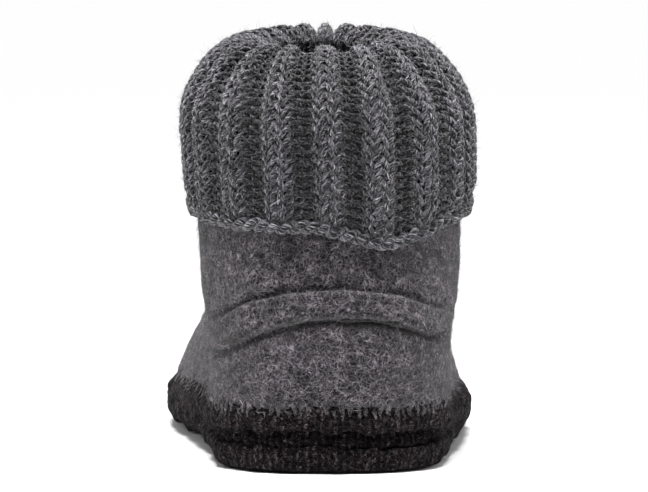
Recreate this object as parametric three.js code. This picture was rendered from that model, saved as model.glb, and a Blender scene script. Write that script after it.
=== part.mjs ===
// Ankle-high slipper for the right foot: a felted wool upper on a felted wool cup sole,
// a loose insole, and a ribbed knitted cuff turned down over the collar.
// Millimetres. +Y points to the toe, +X to the outer side of the foot, +Z up.
import * as THREE from "three";
import { ParametricGeometry } from "three/addons/geometries/ParametricGeometry.js";

// Driving dimensions
const LENGTH = 270; // heel to toe over the widest part of the sole
const HEEL_WIDTH = 81.4; // across the heel at the seam between sole and upper
const FORE_WIDTH = 102; // across the ball at the same seam
const FELT_WALL = 4.5; // thickness of the upper and of the sole's side wall
const SOLE_FLOOR = 8; // thickness of the sole under the foot
const INSOLE_THICK = 4;
const INSOLE_PLAY = 0.8; // gap between the insole's edge and the sole's side wall
const SEAM_GAP = 0.3; // between pieces that are sewn or laid together
const ARCH_RISE = 2.5; // the sole's waist over the floor
const TOE_SPRING = 6; // the toe's tip over the floor
const RIBS = 20; // knitted ribs round the cuff
const RIB_DEPTH = 1.2; // a rib stands this far over the cuff's mean surface, a furrow as far under it

// Where along the foot the underside leaves the floor, in millimetres from the heel's back
const ARCH_FROM = 72;
const ARCH_TO = 148;
const SPRING_FROM = 205;

// Facets
const UPPER_AROUND = 56;
const UPPER_RINGS = 20;
const SOLE_AROUND = 56;
const CUFF_AROUND = RIBS * 5;
const OUTLINE_STEPS = 160; // samples along one half of a girth before it is divided evenly

// Girths of the upper from the sole's seam to the collar, each a nearly level closed curve.
// backY, backZ: where it crosses the heel. front, frontZ: where it crosses the ridge of toe, vamp and
// instep, front as a share of LENGTH. heel, fore: half widths as shares of HEEL_WIDTH and FORE_WIDTH.
// heelCap, toeCap: lengths over which the ends round off. sag: how far the ball lies below the line
// from back to front. swing: how far the front end leans to the inner side of the foot.
const GIRTHS = [
  { backY: 0.0, backZ: 22.6, front: 0.98, frontZ: 25, sag: 4, swing: 7,
    heel: 0.5, fore: 0.5, heelCap: 42, toeCap: 88 },
  { backY: -2.0, backZ: 30, front: 0.972, frontZ: 33, sag: 2, swing: 7,
    heel: 0.5, fore: 0.468, heelCap: 43, toeCap: 92 },
  { backY: -2.5, backZ: 38, front: 0.945, frontZ: 40, sag: 1, swing: 6.5,
    heel: 0.497, fore: 0.43, heelCap: 44, toeCap: 100 },
  { backY: -1.0, backZ: 46, front: 0.9, frontZ: 46, sag: 0, swing: 5.5,
    heel: 0.508, fore: 0.408, heelCap: 45, toeCap: 110 },
  { backY: 1.5, backZ: 54, front: 0.838, frontZ: 52, sag: 0, swing: 4.5,
    heel: 0.524, fore: 0.402, heelCap: 46, toeCap: 120 },
  { backY: 3.5, backZ: 62, front: 0.765, frontZ: 58, sag: 0, swing: 3.5,
    heel: 0.537, fore: 0.405, heelCap: 48, toeCap: 118 },
  { backY: 4.5, backZ: 70, front: 0.688, frontZ: 65, sag: 0, swing: 2.5,
    heel: 0.543, fore: 0.413, heelCap: 50, toeCap: 106 },
  { backY: 5.0, backZ: 78, front: 0.615, frontZ: 73, sag: 0, swing: 1.5,
    heel: 0.546, fore: 0.421, heelCap: 52, toeCap: 92 },
  { backY: 5.0, backZ: 85, front: 0.549, frontZ: 81, sag: 0, swing: 1,
    heel: 0.546, fore: 0.43, heelCap: 53, toeCap: 78 },
  { backY: 5.0, backZ: 90, front: 0.493, frontZ: 88, sag: 0, swing: 0.5,
    heel: 0.545, fore: 0.433, heelCap: 54, toeCap: 66 },
  { backY: 4.8, backZ: 93, front: 0.452, frontZ: 95, sag: 0, swing: 0,
    heel: 0.544, fore: 0.434, heelCap: 55, toeCap: 59 },
  { backY: 4.5, backZ: 96, front: 0.43, frontZ: 101, sag: 0, swing: 0,
    heel: 0.543, fore: 0.434, heelCap: 55, toeCap: 56 },
];
const COLLAR = GIRTHS.length - 1;
const HEEL_SQUARE = 2.5; // how square the heel's plan is: 2 is an ellipse
const TOE_SQUARE = 2.1;
const WAIST_IN = 1.5; // the inner side draws in at the arch by this much
const WAIST_AT = 0.42; // place of the waist, as a share of a girth's length
const WAIST_SPAN = 0.2;

// The soft roll that the felt makes above the heel: its lower crease and upper edge, as heights at the
// inner side, at the back and at the outer side
const HEEL_ROLL = {
  creaseInner: 38.2, creaseBack: 51.7, creaseOuter: 43.2,
  edgeInner: 50, edgeBack: 60.3, edgeOuter: 52.1,
};
const ROLL_HEIGHT = 2.4; // the roll stands this far proud
const ROLL_END = 1.25; // where it ends above, in its own height from crease to edge
const ROLL_SPAN = 38; // half the width over which the three heights are given
const ROLL_FROM = 6; // the roll is full behind this distance from the heel's back
const ROLL_TO = 27; // and has faded out here

// The sole's side from floor to seam. rise: share of the height. heel, fore: how far it stands out from
// the seam's outline there, so that an upper and a lower roll meet in a crease
const SOLE_SIDE = [
  { rise: 0.0, heel: -4.8, fore: -4.2 },
  { rise: 0.05, heel: -2.4, fore: -1.0 },
  { rise: 0.16, heel: -0.9, fore: 1.8 },
  { rise: 0.3, heel: -0.3, fore: 3.8 },
  { rise: 0.4, heel: -0.9, fore: 4.6 },
  { rise: 0.47, heel: -2.6, fore: 4.2 },
  { rise: 0.54, heel: -0.6, fore: 5.0 },
  { rise: 0.68, heel: 0.7, fore: 4.5 },
  { rise: 0.85, heel: 0.6, fore: 2.4 },
  { rise: 1.0, heel: 0.0, fore: 0.0 },
];
const FORE_FROM = 30; // the side changes from its heel form to its forefoot form between these
const FORE_TO = 100;

// The cuff's fall outside the shaft. share: from the hem, 0, to the collar, 1. stand: distance from the
// shaft's outer face. rib: share of the rib relief
const FALL_GAP = 0.6;
const FALL_INSIDE = [
  { share: 0.5, stand: FALL_GAP, rib: 0 },
  { share: 0.06, stand: FALL_GAP, rib: 0 },
];
const FALL_OUTSIDE = [
  { share: 0.0, stand: 2.6, rib: 0.3 },
  { share: 0.08, stand: 4.4, rib: 0.8 },
  { share: 0.3, stand: 4.8, rib: 1 },
  { share: 0.65, stand: 4.9, rib: 1 },
];
// The cuff's turn above the collar, two layers lying together. stand: distance out from the collar's
// outline. back, front: heights at the heel side and at the instep. lean: shift to the outer side
const TURN = [
  { stand: 5.0, back: 103, front: 107, rib: 1, lean: -0.3 },
  { stand: 5.4, back: 111, front: 115, rib: 1, lean: -0.7 },
  { stand: 4.9, back: 117.5, front: 121.5, rib: 1, lean: -0.9 },
  { stand: 2.3, back: 124.4, front: 129.5, rib: 1, lean: -1.2 },
  { stand: -2.2, back: 131.4, front: 138, rib: 1, lean: -1.5 },
  { stand: -7.3, back: 136.2, front: 144, rib: 1, lean: -1.6 },
  { stand: -13.2, back: 138.9, front: 147.7, rib: 0.9, lean: -1.6 },
  { stand: -19.0, back: 139.8, front: 149.3, rib: 0.8, lean: -1.6 },
  { stand: -23.5, back: 136.6, front: 145.6, rib: 0.7, lean: -1.6 },
  { stand: -21.5, back: 132.4, front: 140.6, rib: 0.7, lean: -1.4 },
  { stand: -15.5, back: 128.6, front: 135.6, rib: 0.6, lean: -1.2 },
  { stand: -9.8, back: 123.2, front: 128.8, rib: 0.5, lean: -0.8 },
  { stand: -6.2, back: 114.5, front: 119, rib: 0.3, lean: -0.4 },
];
// The hem's place as a girth number at the heel, at the sides and at the instep, and the dip that it
// makes beside the heel's middle
const HEM = { back: 7.4, side: 8.55, front: 9.8 };
const HEM_DIP = { depth: 0.75, at: 0.058, span: 0.045 };

const smooth = (x, from, to) => THREE.MathUtils.smoothstep(x, from, to);
const mix = THREE.MathUtils.lerp;

// A table's rows as one smooth function of the row number, with the same named columns
function smoothTable(rows) {
  const names = Object.keys(rows[0]);
  const places = rows.map((_, index) => index);
  const values = rows.flatMap((row) => names.map((name) => row[name]));
  const curve = new THREE.CubicInterpolant(places, values, names.length);
  return (at) => {
    const found = curve.evaluate(at);
    return Object.fromEntries(names.map((name, index) => [name, found[index]]));
  };
}
const girthAt = smoothTable(GIRTHS);

// A quarter of a superellipse: 0 at the tip, 1 from the end of the cap inwards
function capShare(distance, cap, square) {
  if (distance >= cap) return 1;
  return Math.pow(1 - Math.pow((cap - distance) / cap, square), 1 / square);
}

// Half width of a girth at a distance from its back. side is 1 on the outer side, -1 on the inner
function halfWidth(girth, chord, distance, side) {
  const heel = girth.heel * HEEL_WIDTH;
  const fore = girth.fore * FORE_WIDTH;
  const ballAt = Math.max(chord - girth.toeCap, girth.heelCap + 1);
  const base = mix(heel, fore, smooth(distance, girth.heelCap, ballAt));
  const fromWaist = (distance / chord - WAIST_AT) / WAIST_SPAN;
  const long = smooth(chord, 150, 240); // short girths round the ankle have no waist
  const waist = side < 0 ? WAIST_IN * long * Math.exp(-fromWaist * fromWaist) : 0;
  const heelEnd = capShare(distance, girth.heelCap, HEEL_SQUARE);
  const toeEnd = capShare(chord - distance, girth.toeCap, TOE_SQUARE);
  return (base - waist) * heelEnd * toeEnd;
}

// One half of a girth from back to front, as points with the length covered so far
function halfOutline(girth, side) {
  const front = girth.front * LENGTH;
  const chord = front - girth.backY;
  const points = [];
  let covered = 0;
  for (let step = 0; step <= OUTLINE_STEPS; step += 1) {
    const share = (1 - Math.cos((Math.PI * step) / OUTLINE_STEPS)) / 2;
    const lean = -girth.swing * smooth(share, 0.2, 0.95);
    const x = lean + side * halfWidth(girth, chord, share * chord, side);
    const y = girth.backY + share * chord;
    const z = mix(girth.backZ, girth.frontZ, share) - girth.sag * Math.sin(Math.PI * share * share);
    const point = new THREE.Vector3(x, y, z);
    if (step > 0) covered += point.distanceTo(points[step - 1].point);
    points.push({ point, covered });
  }
  return points;
}

const outlines = new Map();
function outlineOf(at, side) {
  const key = `${at.toFixed(4)} ${side}`;
  if (!outlines.has(key)) outlines.set(key, halfOutline(girthAt(at), side));
  return outlines.get(key);
}

// A point on a girth. turn runs from 0 at the back over 0.25 on the outer side and 0.5 at the front
function girthPoint(turn, at) {
  const wrapped = turn - Math.floor(turn);
  const side = wrapped <= 0.5 ? 1 : -1;
  const half = side > 0 ? wrapped * 2 : (1 - wrapped) * 2;
  const points = outlineOf(at, side);
  const wanted = half * points[points.length - 1].covered;
  let index = 1;
  while (index < points.length - 1 && points[index].covered < wanted) index += 1;
  const [before, after] = [points[index - 1], points[index]];
  const share = (wanted - before.covered) / (after.covered - before.covered);
  return before.point.clone().lerp(after.point, share);
}

// Outward direction in plan at a place on a girth
const TURN_STEP = 0.004;
function planOutward(turn, at) {
  const ahead = girthPoint(turn + TURN_STEP, at);
  const along = ahead.sub(girthPoint(turn - TURN_STEP, at));
  return new THREE.Vector3(along.y, -along.x, 0).normalize();
}

// Outward direction of the upper's surface
const GIRTH_STEP = 0.05;
function outward(turn, at) {
  const along = girthPoint(turn + TURN_STEP, at).sub(girthPoint(turn - TURN_STEP, at));
  const high = girthPoint(turn, Math.min(at + GIRTH_STEP, COLLAR));
  const up = high.sub(girthPoint(turn, Math.max(at - GIRTH_STEP, 0)));
  return along.cross(up).normalize();
}

// How far the roll above the heel lifts the felt at a point
function heelRoll(point) {
  const across = THREE.MathUtils.clamp(point.x / ROLL_SPAN, -1.2, 1.2);
  const bend = across * across;
  const creaseSide = across < 0 ? HEEL_ROLL.creaseInner : HEEL_ROLL.creaseOuter;
  const edgeSide = across < 0 ? HEEL_ROLL.edgeInner : HEEL_ROLL.edgeOuter;
  const crease = mix(HEEL_ROLL.creaseBack, creaseSide, bend);
  const edge = mix(HEEL_ROLL.edgeBack, edgeSide, bend);
  const share = (point.z - crease) / (edge - crease);
  const fade = 1 - smooth(point.y, ROLL_FROM, ROLL_TO);
  return share > 0 && share < ROLL_END ? ROLL_HEIGHT * fade * Math.sin((Math.PI * share) / ROLL_END) : 0;
}

// The upper's outer face moved out by stand, or in where stand is negative
function upperPoint(turn, at, stand) {
  const point = girthPoint(turn, at);
  const edge = at <= 0 || at >= COLLAR;
  const direction = edge ? planOutward(turn, at) : outward(turn, at);
  return point.addScaledVector(direction, stand + heelRoll(point));
}

// The upper: up its outer face, over the collar's edge, down its inner face and back along the seam
function upperRow(row, turn) {
  const rows = 2 * UPPER_RINGS;
  const place = row % rows;
  const inside = place >= UPPER_RINGS;
  const ring = inside ? rows - 1 - place : place;
  const at = (ring / (UPPER_RINGS - 1)) * COLLAR;
  return upperPoint(turn, at, inside ? -FELT_WALL : 0);
}

// Height of the sole's underside at a distance from the heel's back
function undersideZ(y) {
  const waist = THREE.MathUtils.clamp((y - ARCH_FROM) / (ARCH_TO - ARCH_FROM), 0, 1);
  const arch = ARCH_RISE * Math.sin(Math.PI * waist) ** 2;
  const toe = Math.max(0, (y - SPRING_FROM) / (LENGTH - SPRING_FROM));
  return arch + TOE_SPRING * toe * toe;
}

// A point of the sole: stand out from the seam's outline, at a height over the underside
function solePoint(turn, stand, heightOver) {
  const point = girthPoint(turn, 0);
  const seamZ = point.z;
  point.addScaledVector(planOutward(turn, 0), stand);
  const floor = undersideZ(point.y);
  point.z = floor + heightOver(seamZ - SEAM_GAP - floor);
  return point;
}

// The middle line on which the two halves of a level face meet, at the height of that face
const SPINE_IN = 12; // the line stops this far inside the face's ends
function spinePoint(turn, heightOver) {
  const half = turn <= 0.5 ? turn * 2 : (1 - turn) * 2;
  const right = girthPoint(half / 2, 0);
  const left = girthPoint(1 - half / 2, 0);
  const point = right.add(left).multiplyScalar(0.5);
  const front = GIRTHS[0].front * LENGTH;
  point.y = mix(SPINE_IN, front - SPINE_IN, point.y / front);
  point.z = undersideZ(point.y) + heightOver;
  return point;
}

// The sole: from the underside's middle line out and up the side, over the seam, down inside to its floor
function soleRow(row, turn) {
  const side = SOLE_SIDE[row - 1];
  if (row === 0) return spinePoint(turn, 0);
  if (side) {
    const fore = smooth(girthPoint(turn, 0).y, FORE_FROM, FORE_TO);
    return solePoint(turn, mix(side.heel, side.fore, fore), (height) => side.rise * height);
  }
  const inside = row - SOLE_SIDE.length;
  if (inside === 1) return solePoint(turn, -FELT_WALL, (height) => height);
  if (inside === 2) return solePoint(turn, -FELT_WALL, () => SOLE_FLOOR);
  return spinePoint(turn, SOLE_FLOOR);
}
const SOLE_ROWS = SOLE_SIDE.length + 3;

// The insole: a flat sheet that follows the sole's floor
function insoleRow(row, turn) {
  const stand = -FELT_WALL - INSOLE_PLAY;
  const low = SOLE_FLOOR + SEAM_GAP;
  const high = low + INSOLE_THICK;
  if (row === 0) return spinePoint(turn, low);
  if (row === 1) return solePoint(turn, stand, () => low);
  if (row === 2) return solePoint(turn, stand, () => high);
  return spinePoint(turn, high);
}
const INSOLE_ROWS = 3;

// The girth number of the cuff's hem round the shaft
function hemAt(turn) {
  const half = turn <= 0.5 ? turn * 2 : (1 - turn) * 2;
  const share = (1 - Math.cos(Math.PI * half)) / 2;
  const behind = mix(HEM.back, HEM.side, share * 2);
  const ahead = mix(HEM.side, HEM.front, share * 2 - 1);
  const level = share < 0.5 ? behind : ahead;
  const fromDip = (turn - HEM_DIP.at) / HEM_DIP.span;
  return level - HEM_DIP.depth * Math.exp(-fromDip * fromDip);
}

const ribWave = (turn) => RIB_DEPTH * Math.cos(2 * Math.PI * RIBS * turn);

function fallPoint(turn, row) {
  const at = mix(hemAt(turn), COLLAR, row.share);
  return upperPoint(turn, Math.min(at, COLLAR), row.stand + row.rib * ribWave(turn));
}

function turnPoint(turn, row) {
  const point = girthPoint(turn, COLLAR);
  const collar = GIRTHS[COLLAR];
  const share = (point.y - collar.backY) / (collar.front * LENGTH - collar.backY);
  point.addScaledVector(planOutward(turn, COLLAR), row.stand + row.rib * ribWave(turn));
  point.x += row.lean;
  point.z = mix(row.back, row.front, share);
  return point;
}

// The cuff's two ledges that sit on the collar's edge
function ledgePoint(turn, stand) {
  const point = upperPoint(turn, COLLAR, stand);
  point.z += SEAM_GAP;
  return point;
}

// The cuff: down the inside of its fall, round the hem, up and over the turn, and back to the collar
const CUFF_SECTION = [
  (turn) => ledgePoint(turn, FALL_GAP),
  ...FALL_INSIDE.map((row) => (turn) => fallPoint(turn, row)),
  ...FALL_OUTSIDE.map((row) => (turn) => fallPoint(turn, row)),
  ...TURN.map((row) => (turn) => turnPoint(turn, row)),
  (turn) => ledgePoint(turn, -FELT_WALL),
];

// Rows of points round the shoe as one closed surface. A ring-like form joins its last row to its first
function closedForm(pointAt, around, rows) {
  const form = (turn, section, target) => {
    const row = Math.round(section * rows);
    return target.copy(pointAt(row, turn === 1 ? 0 : turn));
  };
  const geometry = new ParametricGeometry(form, around, rows);
  geometry.computeVertexNormals();
  return geometry;
}

function felt(color) {
  return new THREE.MeshStandardMaterial({ color, roughness: 0.95, metalness: 0 });
}

function piece(name, geometry, color) {
  const mesh = new THREE.Mesh(geometry, felt(color));
  mesh.name = name;
  return mesh;
}

const cuffRow = (row, turn) => CUFF_SECTION[row % CUFF_SECTION.length](turn);

const shoe = new THREE.Group();
shoe.add(piece("upper", closedForm(upperRow, UPPER_AROUND, 2 * UPPER_RINGS), 0x4d4a4e));
shoe.add(piece("sole", closedForm(soleRow, SOLE_AROUND, SOLE_ROWS), 0x201e1f));
shoe.add(piece("insole", closedForm(insoleRow, SOLE_AROUND, INSOLE_ROWS), 0x4a4749));
shoe.add(piece("cuff", closedForm(cuffRow, CUFF_AROUND, CUFF_SECTION.length), 0x45444a));

// The origin lies on the floor under the middle of the whole slipper
const box = new THREE.Box3().setFromObject(shoe);
const middle = box.getCenter(new THREE.Vector3());
shoe.position.set(-middle.x, -middle.y, -box.min.z);

const slipper = new THREE.Group();
slipper.add(shoe);

export default slipper;
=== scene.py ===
import math

import bmesh
import bpy
import numpy as np
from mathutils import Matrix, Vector
from mathutils.kdtree import KDTree


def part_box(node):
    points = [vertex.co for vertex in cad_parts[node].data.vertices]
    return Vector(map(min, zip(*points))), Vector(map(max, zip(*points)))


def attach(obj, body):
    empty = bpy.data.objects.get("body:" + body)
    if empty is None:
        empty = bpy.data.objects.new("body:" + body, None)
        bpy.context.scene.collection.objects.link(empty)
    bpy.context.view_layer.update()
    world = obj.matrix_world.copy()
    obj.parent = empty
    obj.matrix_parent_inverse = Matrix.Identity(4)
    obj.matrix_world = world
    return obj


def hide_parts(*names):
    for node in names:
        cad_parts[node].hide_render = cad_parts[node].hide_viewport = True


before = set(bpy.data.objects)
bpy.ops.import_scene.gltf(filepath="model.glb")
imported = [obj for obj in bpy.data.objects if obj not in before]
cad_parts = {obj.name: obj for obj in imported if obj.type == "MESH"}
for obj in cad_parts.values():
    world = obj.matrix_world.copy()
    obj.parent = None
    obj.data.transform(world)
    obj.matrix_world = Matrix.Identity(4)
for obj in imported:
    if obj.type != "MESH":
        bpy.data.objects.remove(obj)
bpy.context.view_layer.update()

MM = 0.001  # the sizes below are millimetres in the slipper's own frame
chance = np.random.default_rng(20)

# Camera, as the slipper is seen: from behind the heel and a little above it
CAMERA_BEHIND_HEEL = 1500
CAMERA_HEIGHT = 159.8
CAMERA_ASIDE = 2.6
AIM_BEFORE_HEEL = 60
AIM_HEIGHT = 72.5
LENS = 253.8
SENSOR = 36.0

# The collar's edge and the middle of the foot
COLLAR_FROM = 90  # the collar's rim lies above this height
SEAM_BELOW = 30  # the seam of sole and upper lies below this one
AXIS_X = 4.0
AXIS_HEEL_Y = -95
AXIS_TOE_Y = 85
AXIS_Z = 38
COLLAR_MIDDLE_Y = -73

# Knit: two plain and two purl stitches in each rib
RIBS = 20
PLAIN_SHARE = 0.27  # width of a plain stitch as a share of a rib
PURL_SHARE = 0.5 - PLAIN_SHARE
COURSE = 3.55  # height of a row of stitches
YARN_RADIUS = 0.82
EDGE_RADIUS = 1.4  # of each strand in the cuff's edge
LOOP_REACH = 0.92  # half the height of a loop, in rows
LOOP_WAIST = 0.3  # how far a loop draws in, as a share of its width
LOOP_DEPTH = 0.95
RIB_RELIEF = 1.8
RIB_WIDTH = 17.4  # of a rib where the cuff is widest
LOOP_STEPS = 12
INSIDE_STEPS = 8
FALL_ROWS = 12  # rows of stitches up to the turn
TURN_ROWS = 25  # and up to the inside
KNIT_IN = 1.5  # the yarn's middle lies this far under the cuff's face
SHADE_BACKING_IN = 1.0  # and the dark backing, painted shade behind the knit, this far under the yarn's middle
SHADE_BACKING_START = 0.012  # where it starts and stops, as shares of the cuff's path
SHADE_BACKING_END = 0.54
SHADE_BACKING_THICK = 0.6
CREST_AT = 0.65  # the mouth's edge, where the cuff bends back inside, as a share of the path
CREST_SPAN = 0.085
YARN_SIDES = 5
# How uneven hand knitting is: round the cuff in turns, then as shares of a loop
LOOSE_TURN = 0.0003
LOOSE_REACH = 0.04
LOOSE_ROW = 0.05
LOOSE_LIFT = 0.08
LOOSE_YARN = 0.05

# The cuff's path from the hem up its fall, over the turn and down inside. stand: distance out from
# the collar's edge at the heel side and at the instep. height: the same two places. lean: shift to the
# outer side
CUFF_PATH = [
    # stand heel, stand instep, height heel, height instep, lean
    (2.2, 10.0, 80.6, 93.0, 0.0),
    (3.2, 8.4, 85.0, 95.8, 0.0),
    (3.8, 6.2, 90.5, 99.2, 0.0),
    (4.1, 4.8, 96.8, 103.0, -0.1),
    (4.3, 4.4, 103.5, 107.5, -0.3),
    (4.6, 4.7, 111.0, 115.0, -0.7),
    (4.1, 4.2, 117.5, 121.5, -0.9),
    (2.1, 2.1, 124.0, 128.6, -1.2),
    (-2.2, -2.2, 130.6, 136.4, -1.5),
    (-7.3, -8.2, 136.0, 142.2, -1.6),
    (-13.3, -16.0, 139.0, 145.4, -1.6),
    (-19.4, -24.5, 139.9, 146.5, -1.6),
    (-24.6, -31.0, 136.4, 143.6, -1.6),
    (-22.2, -29.0, 132.0, 139.2, -1.4),
    (-15.8, -21.5, 128.2, 134.8, -1.2),
    (-10.0, -12.0, 122.8, 128.2, -0.8),
    (-6.6, -6.6, 114.5, 119.0, -0.4),
    (-5.4, -5.4, 103.0, 107.0, 0.0),
]
HEM_DIP = 5.6  # the hem hangs lower beside the heel's middle
HEM_DIP_AT = 0.058
HEM_DIP_SPAN = 0.045

# Creases of the felt above the heel and of the sole's band under it: heights at places across, and
# how deep each place is as a share of the whole depth
ROLL_LOWER = {
    "x": [-34, -22, -5, 5, 18, 28, 38],
    "z": [38.5, 44.8, 50.3, 51.4, 51.4, 49.8, 45.3],
    "deep": [0.35, 0.5, 0.7, 0.95, 1.0, 1.0, 0.8],
}
ROLL_UPPER = {
    "x": [-35, -22, -9, 8, 28, 41],
    "z": [49.6, 57.4, 60.8, 61.8, 59.8, 54.2],
    "deep": [1.0, 1.0, 0.8, 0.7, 0.8, 0.7],
}
SOLE_CREASE = {
    "x": [-36, -20, -8, 5, 18, 30, 40],
    "z": [11.0, 11.6, 12.2, 12.0, 11.0, 10.6, 11.2],
    "deep": [0.3, 0.5, 0.6, 0.9, 1.0, 1.0, 0.6],
}
LOWER_DEPTH = 3.7
UPPER_DEPTH = 2.2
LIP_HEIGHT = 1.9  # the roll's edges stand up beside both creases
ROLL_SWELL = 1.1  # the felt between the creases swells out
SOLE_CREASE_DEPTH = 3.4
CREASE_WIDTH = 1.5
LIP_APART = 2.6  # from a crease's middle to its lip
SWELL_WIDTH = 3.4
CREASE_END = 6  # a crease runs out over this length
ROLL_BACK_Y = -112  # behind this the roll's creases are full, and they fade out over the next length
ROLL_FADE = 14
SOLE_BACK_Y = -108  # the same for the sole's crease
SOLE_FADE = 22

# Unevenness of the hand-felted wool: size of a lump, and its height
UPPER_LUMPS = (16, 1.6)
UPPER_DIMPLES = (4.0, 0.9)
SOLE_LUMPS = (7, 4.2)
SOLE_DIMPLES = (3.2, 1.3)
SOLE_LEVEL = 0.58  # the share of a lump's height that lies under the sole's face

# Parts of the heel with a finer mesh for the creases: behind y, this far out from the middle line, z
ROLL_FINE = {"y": -96, "out": -24, "low": 34, "high": 70}
SOLE_FINE = {"y": -85, "out": 12, "low": 0.3}

# Seam stitches
STITCH_PITCH = 2.7
STITCH_ABOVE = 1.6
STITCH_BELOW = 4.4
STITCH_RADIUS = 1.15
STITCH_FLATNESS = 0.5
STITCH_RINGS = 7
STITCH_SIDES = 6

COLUMN_WIDTH = 2.7  # of the stitches that still show in the felted sole

# Hairs: length, lift of the end, curl and width
BACK_HAIR = (2.8, 0.5, 0.45, 0.07)
FRONT_HAIR = (2.8, 0.45, 0.35, 0.085)
SOLE_HAIR = (1.9, 0.45, 0.3, 0.07)
SEAM_HAIR = (2.6, 0.3, 0.5, 0.09)
UPPER_STRAY = (7, 0.9, 1.4, 0.075)
CUFF_HAIR = (3.2, 0.5, 0.7, 0.085)
CUFF_STRAY = (6.5, 1.3, 1.5, 0.07)
STRAY_STEPS = 5
HAIRLESS_ABOVE = 92  # the felt under the cuff has no nap
BACK_UP_TO_Y = -60  # where the nap of the back gives way to that of the front


def activate(obj):
    bpy.ops.object.select_all(action="DESELECT")
    obj.select_set(True)
    bpy.context.view_layer.objects.active = obj


def apply_modifier(obj, kind, **settings):
    modifier = obj.modifiers.new(kind.title(), kind)
    for name, value in settings.items():
        setattr(modifier, name, value)
    activate(obj)
    bpy.ops.object.modifier_apply(modifier=modifier.name)


def points_of(obj):
    flat = np.empty(len(obj.data.vertices) * 3, np.float32)
    obj.data.vertices.foreach_get("co", flat)
    return flat.reshape(-1, 3).astype(float) / MM


def copy_of_node(node, name, levels, firmness):
    """A smooth copy of a CAD node, merged, in quads, its edges kept as firm as asked."""
    obj = bpy.data.objects.new(name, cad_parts[node].data.copy())
    bpy.context.scene.collection.objects.link(obj)
    obj.data.materials.clear()
    activate(obj)
    if obj.data.has_custom_normals:
        bpy.ops.mesh.customdata_custom_splitnormals_clear()
    bpy.ops.object.mode_set(mode="EDIT")
    bpy.ops.mesh.select_all(action="SELECT")
    bpy.ops.mesh.remove_doubles(threshold=0.002 * MM)
    flat = math.radians(70)
    bpy.ops.mesh.tris_convert_to_quads(face_threshold=flat, shape_threshold=flat)
    bpy.ops.mesh.select_all(action="DESELECT")
    bpy.ops.mesh.select_mode(type="EDGE")
    bpy.ops.mesh.edges_select_sharp(sharpness=math.radians(55))
    bpy.ops.transform.edge_crease(value=firmness)
    bpy.ops.object.mode_set(mode="OBJECT")
    apply_modifier(obj, "SUBSURF", levels=levels, render_levels=levels)
    activate(obj)
    bpy.ops.object.shade_smooth()
    return obj


def from_axis(points, heel_y=AXIS_HEEL_Y, toe_y=AXIS_TOE_Y):
    """Directions from the middle line of the foot's room to points on the slipper."""
    axis = np.stack(
        [
            np.full(len(points), AXIS_X),
            np.clip(points[:, 1], heel_y, toe_y),
            np.full(len(points), AXIS_Z),
        ],
        axis=1,
    )
    return points - axis


def weigh(obj, name, weights, least=0.0):
    """A vertex group of the weights above the least one."""
    group = obj.vertex_groups.new(name=name)
    for index in np.nonzero(weights > least)[0]:
        group.add([int(index)], float(weights[index]), "REPLACE")


def push(obj, name, weights, distance):
    """Moves the weighted points out by a distance, or in where it is negative."""
    weigh(obj, name, weights, 0.004)
    apply_modifier(
        obj, "DISPLACE", vertex_group=name, strength=distance * MM, mid_level=0.0, direction="NORMAL"
    )


def lumps(obj, name, size, height, middle=0.5, group=""):
    """Soft unevenness of hand-felted wool."""
    texture = bpy.data.textures.new(name, "CLOUDS")
    texture.noise_scale = size * MM
    texture.noise_depth = 2
    apply_modifier(
        obj, "DISPLACE", texture=texture, strength=height * MM, mid_level=middle, vertex_group=group
    )


def line_weights(points, line, width, back_y, fade):
    """Weights of a crease that runs across the back along a line of heights."""
    level = np.interp(points[:, 0], line["x"], line["z"])
    deep = np.interp(points[:, 0], line["x"], line["deep"])
    across = deep * np.exp(-(((points[:, 2] - level) / width) ** 2))
    low, high = line["x"][0], line["x"][-1]
    from_low = np.clip((points[:, 0] - low) / CREASE_END + 1, 0, 1)
    from_high = np.clip((high - points[:, 0]) / CREASE_END + 1, 0, 1)
    behind = np.clip((back_y + fade - points[:, 1]) / fade, 0, 1)
    return across * (from_low * from_high) * behind * (from_axis(points)[:, 1] < 0)


def upper_hollows(points):
    """How deep in the two creases of the heel's roll points lie, from 0 to 1."""
    lower = line_weights(points, ROLL_LOWER, CREASE_WIDTH, ROLL_BACK_Y, ROLL_FADE)
    upper_one = line_weights(points, ROLL_UPPER, CREASE_WIDTH * 0.8, ROLL_BACK_Y, ROLL_FADE)
    return np.maximum(lower, 0.7 * upper_one)


def point_values(mesh, name, values):
    """Keeps one number for each point of a mesh."""
    layer = mesh.attributes.new(name, "FLOAT", "POINT")
    layer.data.foreach_set("value", values.astype(np.float32))


def keep_painted_shade(obj, weights):
    """Keeps, for each point, how much painted shade the finish lays on it."""
    point_values(obj.data, "painted_shade", weights)


def column_places(obj):
    """Keeps how far round the rim from the heel's middle each point of the sole lies, in millimetres."""
    ring = smooth_ring(rim_points("upper", 0, SEAM_BELOW), 2400)
    covered = np.cumsum(np.linalg.norm(np.roll(ring, -1, axis=0) - ring, axis=1))
    half = covered[-1] / 2
    toe = covered[np.argmax(ring[:, 1])]
    back_again = (covered[-1] - covered) / (covered[-1] - toe)
    round_it = np.where(covered < toe, covered / toe, back_again) * half
    tree = KDTree(len(ring))
    for index, spot in enumerate(ring):
        tree.insert((spot[0], spot[1], 0), index)
    tree.balance()
    nearest = [tree.find((spot[0], spot[1], 0))[1] for spot in points_of(obj)]
    point_values(obj.data, "column", round_it[nearest])


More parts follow.
